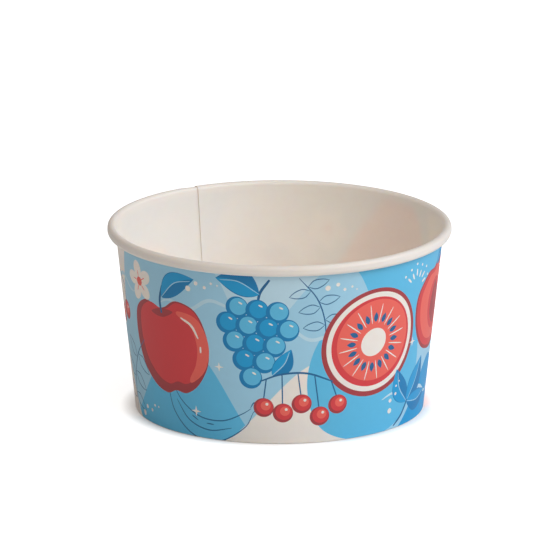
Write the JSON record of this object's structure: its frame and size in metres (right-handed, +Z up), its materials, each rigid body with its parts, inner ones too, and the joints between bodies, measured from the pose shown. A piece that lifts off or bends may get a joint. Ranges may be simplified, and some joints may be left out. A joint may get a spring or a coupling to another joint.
{
  "type": "paper dessert cup",
  "caption": "Wide low paper cup with a slightly flared wall, an outward-rolled rim, a lapped side seam and a recessed bottom held in a folded foot.",
  "frame": {"origin": "centre of the foot, on the plane the cup stands on", "axes": "+Z up along the cup's axis, out of its mouth; the lapped seam lies 30 degrees from +Y towards -X"},
  "size_m": [0.115, 0.115, 0.063],
  "materials": {
    "printed_board": "white coated board, printed outside in light and mid blue, red and cream, semi-matt",
    "plain_board": "white coated board, plain, semi-matt"
  },
  "bodies": {
    "root": {"side_wall": "printed_board", "base_disc": "plain_board"}
  },
  "joints": []
}
